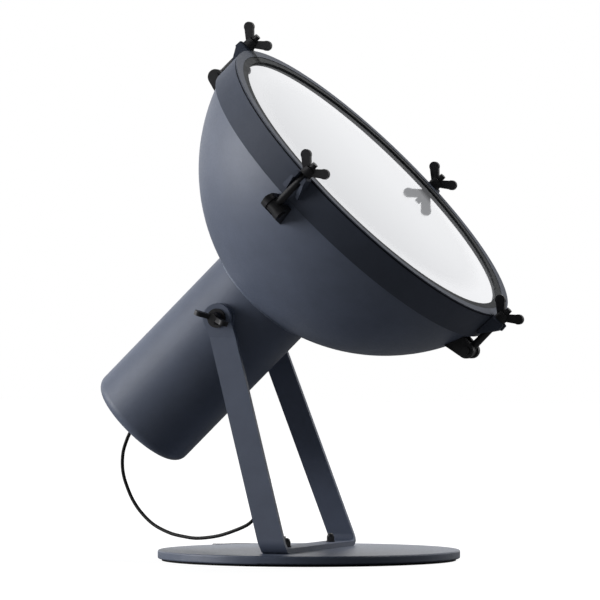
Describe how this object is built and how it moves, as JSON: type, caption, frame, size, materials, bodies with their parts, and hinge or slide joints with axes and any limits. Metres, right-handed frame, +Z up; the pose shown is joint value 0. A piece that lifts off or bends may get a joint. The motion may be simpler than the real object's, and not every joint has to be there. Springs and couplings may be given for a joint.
{
  "type": "floor lamp",
  "caption": "Floor lamp: a tilting bowl projector with a glass front held by swing bolts and wing nuts, in a bent flat-bar yoke on a round base.",
  "frame": {"origin": "centre of the base's underside, on the ground", "axes": "+Z up, +X the way the lamp faces, +Y along the pivot axis, away from the picture's viewer"},
  "size_m": [0.4397, 0.4445, 0.535],
  "materials": {
    "paint": "matte fine-textured dark blue-grey coat",
    "rim_paint": "matte fine-textured coat, darker than the bowl",
    "black_steel": "black-finished steel",
    "rubber": "black rubber",
    "opal_glass": "white glass with a clear gloss",
    "bulb": "white frosted glass",
    "bright_metal": "plain bright metal",
    "ceramic": "glazed ceramic",
    "cord": "black flex",
    "black_plastic": "black plastic"
  },
  "bodies": {
    "stand": {"base_plate": "paint", "base_pad": "rubber", "yoke_bracket": "paint", "yoke_studs": "black_steel", "yoke_washers": "black_steel", "yoke_nuts": "black_steel", "pivot_washers": "black_steel", "cable_clip": "rubber", "clip_screw": "black_steel", "flex_loop": "cord", "switch_lead": "cord", "switch_base": "black_plastic", "switch_cover": "black_plastic", "switch_screws": "bright_metal", "supply_lead": "cord", "cord_coil": "cord", "plug_lead": "cord", "cord_tie": "cord", "plug_body": "black_plastic", "plug_pins": "bright_metal"},
    "head": {"rear_housing": "paint", "bowl": "paint", "rim_band": "rim_paint", "clamp_lugs": "black_steel", "rim_gasket": "rubber", "front_bezel": "rim_paint", "glass_seal": "rubber", "front_glass": "opal_glass", "glass_retainer": "bright_metal", "reflector": "bright_metal", "holder_plate": "bright_metal", "plate_screws": "bright_metal", "lamp_holder": "ceramic", "bulb_cap": "bright_metal", "bulb_glass": "bulb", "terminal_block": "ceramic", "cable_gland": "rubber", "gland_nut": "rubber", "inner_flex": "cord", "clamp_pins": "black_steel", "pivot_studs": "black_steel", "friction_washers": "rubber"},
    "swing_bolt_top": {"swing_bolt_top": "black_steel"},
    "wing_nut_top": {"wing_nut_top": "black_steel"},
    "swing_bolt_near": {"swing_bolt_near": "black_steel"},
    "wing_nut_near": {"wing_nut_near": "black_steel"},
    "swing_bolt_bottom": {"swing_bolt_bottom": "black_steel"},
    "wing_nut_bottom": {"wing_nut_bottom": "black_steel"},
    "swing_bolt_far": {"swing_bolt_far": "black_steel"},
    "wing_nut_far": {"wing_nut_far": "black_steel"},
    "pivot_wing_nut_near": {"pivot_wing_nut_near": "black_steel"},
    "pivot_wing_nut_far": {"pivot_wing_nut_far": "black_steel"},
    "switch_rocker": {"switch_rocker": "black_plastic"}
  },
  "joints": [
    {"name": "head_tilt", "type": "hinge", "parent": "stand", "child": "head", "pos_m": [-0.072, 0, 0.24], "axis": [0, 1, 0], "range_deg": [-46, 32], "deforming": ["flex_loop"]},
    {"name": "swing_top", "type": "hinge", "parent": "head", "child": "swing_bolt_top", "pos_m": [-0.09539, 0, 0.48015], "axis": [0, -1, 0], "range_deg": [0, 75]},
    {"name": "nut_top", "type": "hinge", "parent": "swing_bolt_top", "child": "wing_nut_top", "pos_m": [-0.06374, 0, 0.51072], "axis": [0.7193, 0, 0.6947], "continuous": true},
    {"name": "swing_near", "type": "hinge", "parent": "head", "child": "swing_bolt_near", "pos_m": [0.03292, -0.18895, 0.34728], "axis": [0.6945, -0.0227, -0.7192], "range_deg": [0, 75]},
    {"name": "nut_near", "type": "hinge", "parent": "swing_bolt_near", "child": "wing_nut_near", "pos_m": [0.06457, -0.18895, 0.37785], "axis": [0.7193, 0, 0.6947], "continuous": true},
    {"name": "swing_bottom", "type": "hinge", "parent": "head", "child": "swing_bolt_bottom", "pos_m": [0.16719, 0, 0.20824], "axis": [0, 1, 0], "range_deg": [0, 75]},
    {"name": "nut_bottom", "type": "hinge", "parent": "swing_bolt_bottom", "child": "wing_nut_bottom", "pos_m": [0.19884, 0, 0.23881], "axis": [0.7193, 0, 0.6947], "continuous": true},
    {"name": "swing_far", "type": "hinge", "parent": "head", "child": "swing_bolt_far", "pos_m": [0.0359, 0.189, 0.3442], "axis": [-0.6947, 0, 0.7193], "range_deg": [0, 75]},
    {"name": "nut_far", "type": "hinge", "parent": "swing_bolt_far", "child": "wing_nut_far", "pos_m": [0.06755, 0.189, 0.37476], "axis": [0.7193, 0, 0.6947], "continuous": true},
    {"name": "pivot_nut_near", "type": "hinge", "parent": "head", "child": "pivot_wing_nut_near", "pos_m": [-0.072, -0.075, 0.24], "axis": [0, -1, 0], "continuous": true},
    {"name": "pivot_nut_far", "type": "hinge", "parent": "head", "child": "pivot_wing_nut_far", "pos_m": [-0.072, 0.075, 0.24], "axis": [0, 1, 0], "continuous": true},
    {"name": "switch_rock", "type": "hinge", "parent": "stand", "child": "switch_rocker", "pos_m": [-0.0387, 0.004, 0.018], "axis": [0.9397, 0.342, 0], "range_deg": [-18, 0]}
  ]
}
